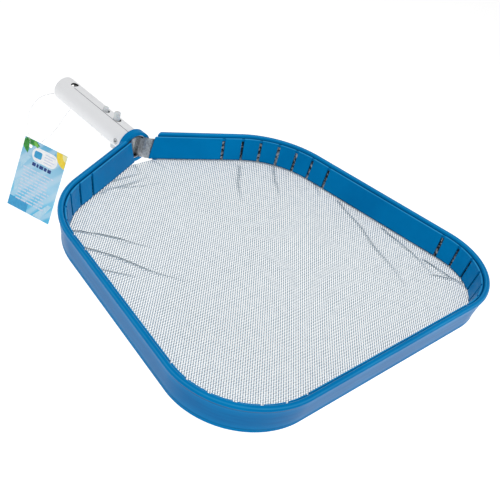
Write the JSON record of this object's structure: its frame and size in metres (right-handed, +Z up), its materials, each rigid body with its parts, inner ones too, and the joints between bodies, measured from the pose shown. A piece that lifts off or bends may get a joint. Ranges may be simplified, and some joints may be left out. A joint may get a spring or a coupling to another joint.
{
  "type": "leaf skimmer net",
  "caption": "Flat pool leaf skimmer: blue slit trim on an aluminium band, fine mesh, and a tube handle with a sprung pin clip that locks into a pole.",
  "frame": {"origin": "centre of the handle tube's open end, on the tube's axis", "axes": "+Y out of the open end, along the pole; +Z up, away from the surface that the rim lies on; +X to the right seen from above with the handle pointing away"},
  "size_m": [0.3772, 0.5754, 0.2027],
  "materials": {
    "rim_plastic": "blue extruded trim, satin gloss",
    "band_metal": "bare rolled band, fine scratches",
    "mesh": "fine white woven mesh",
    "hem": "white hem cord",
    "collar_plastic": "blue moulded ring",
    "handle_plastic": "white moulded plastic, satin",
    "rivet_metal": "hollow rivet",
    "clip_plastic": "white sprung plastic",
    "pin_plastic": "pale grey plastic",
    "tag_card": "printed card",
    "nylon": "clear nylon"
  },
  "bodies": {
    "skimmer": {"rim_trim": "rim_plastic", "frame_band": "band_metal", "net": "mesh", "net_hem": "hem", "throat_collar": "collar_plastic", "handle_tube": "handle_plastic", "handle_plug": "handle_plastic", "handle_rivets": "rivet_metal", "clip_fold": "clip_plastic", "tag": "tag_card", "tag_loop": "nylon", "loop_lock": "nylon"},
    "upper_clip": {"upper_clip_arm": "clip_plastic", "upper_lock_pin": "pin_plastic", "upper_press_button": "pin_plastic"},
    "lower_clip": {"lower_clip_arm": "clip_plastic", "lower_lock_pin": "pin_plastic", "lower_press_button": "pin_plastic"}
  },
  "joints": [
    {"name": "upper_clip_press", "type": "hinge", "parent": "skimmer", "child": "upper_clip", "pos_m": [0, -0.035, 0], "axis": [1, 0, 0], "range_deg": [0, 5], "stiffness_Nm_per_rad": 4, "springref_deg": -6.88},
    {"name": "lower_clip_press", "type": "hinge", "parent": "skimmer", "child": "lower_clip", "pos_m": [0, -0.035, 0], "axis": [-1, 0, 0], "range_deg": [0, 5], "stiffness_Nm_per_rad": 4, "springref_deg": -6.88}
  ]
}
